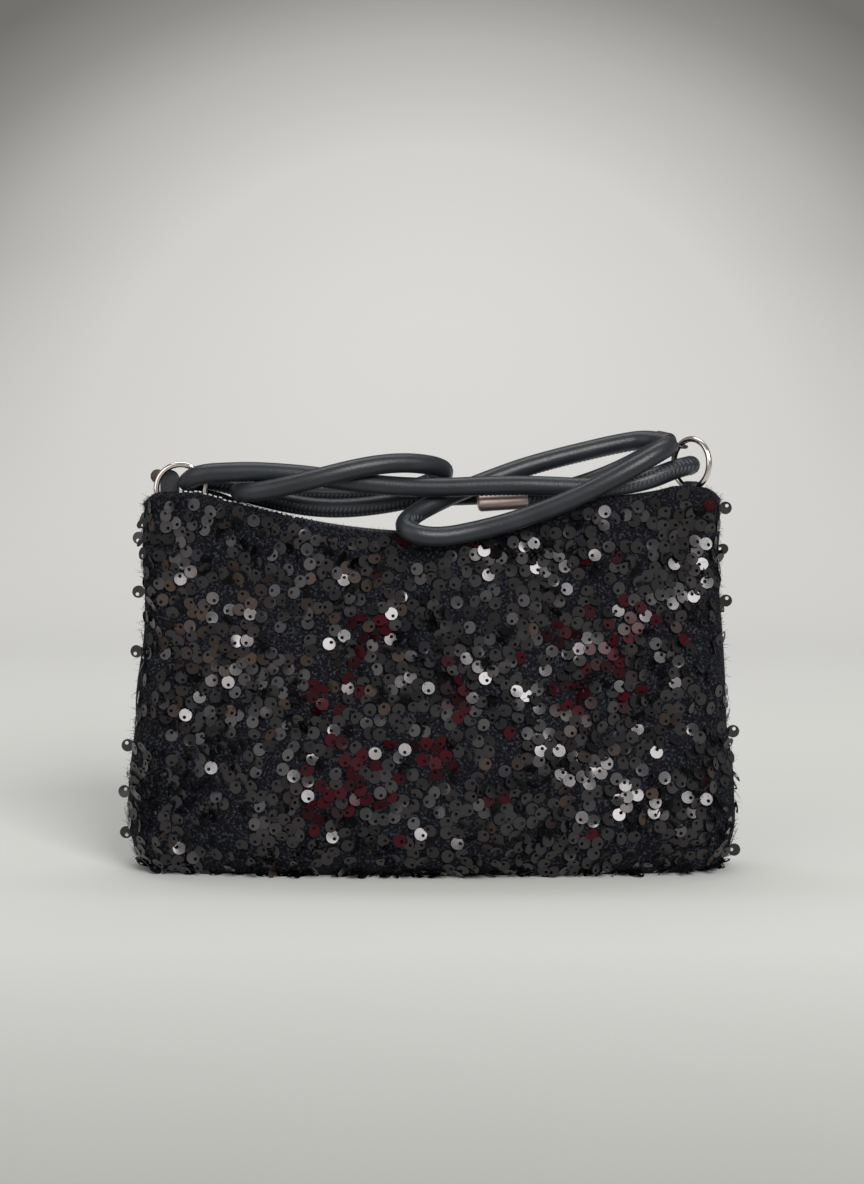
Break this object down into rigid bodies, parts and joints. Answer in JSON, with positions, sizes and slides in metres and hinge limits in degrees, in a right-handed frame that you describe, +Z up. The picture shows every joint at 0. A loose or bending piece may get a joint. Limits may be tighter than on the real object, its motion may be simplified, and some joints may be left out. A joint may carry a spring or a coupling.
{
  "type": "clutch purse",
  "caption": "Small black sequined evening pouch with a zip along its dipped mouth, a metal ring at each top corner and a round leather cord strap looped through the rings.",
  "frame": {"origin": "on the surface the pouch stands on, under the middle of its body", "axes": "+Z up, +X to the right seen from the front, -Y out of the front wall, so the zip runs along X"},
  "size_m": [0.2636, 0.0608, 0.1904],
  "materials": {
    "sequin_cloth": "black net sewn with 5.5 mm sequins, glossy discs over a matt base",
    "lining_cloth": "plain black satin lining",
    "zip_tape_cloth": "woven black zip tape",
    "zip_coil": "black plastic coil teeth",
    "nickel": "polished nickel with a slightly warm cast",
    "nickel_brushed": "brushed nickel, copper tint",
    "black_enamel": "black enamel on metal, satin",
    "black_leather": "smooth black leather, soft sheen",
    "cord_leather": "black round leather cord, one side stitched"
  },
  "bodies": {
    "bag": {"shell_front": "sequin_cloth", "shell_back": "sequin_cloth", "lining_front": "lining_cloth", "lining_back": "lining_cloth", "zip_tape_front": "zip_tape_cloth", "zip_tape_back": "zip_tape_cloth", "zip_teeth_front": "zip_coil", "zip_teeth_back": "zip_coil", "zip_top_stops": "nickel", "zip_bottom_stop": "nickel", "ring_tab_left": "black_leather", "ring_tab_right": "black_leather", "zip_tongue": "black_leather", "strap": "cord_leather", "strap_end_cap": "black_enamel", "strap_ferrule": "nickel_brushed"},
    "zip_slider": {"zip_slider": "nickel"},
    "zip_puller": {"zip_puller": "nickel"},
    "ring_left": {"ring_left": "nickel"},
    "ring_right": {"ring_right": "nickel"}
  },
  "joints": [
    {"name": "slider_travel", "type": "hinge", "parent": "bag", "child": "zip_slider", "pos_m": [0, 0, 0.426], "axis": [0, 1, 0], "range_deg": [0, 30], "deforming": ["strap", "strap_ferrule", "zip_teeth_front", "zip_teeth_back"]},
    {"name": "puller_swing", "type": "hinge", "parent": "zip_slider", "child": "zip_puller", "pos_m": [0.07113, 0, 0.15808], "axis": [0, 1, 0], "range_deg": [-175, 0], "deforming": ["strap", "strap_ferrule"]},
    {"name": "ring_left_swing", "type": "hinge", "parent": "bag", "child": "ring_left", "pos_m": [-0.1082, 0, 0.1547], "axis": [1, 0, 0], "range_deg": [-8, 15], "deforming": ["strap"]},
    {"name": "ring_right_swing", "type": "hinge", "parent": "bag", "child": "ring_right", "pos_m": [0.1115, 0, 0.1656], "axis": [0.6293, -0.7771, 0], "range_deg": [-12, 12], "deforming": ["strap", "strap_end_cap"]}
  ]
}
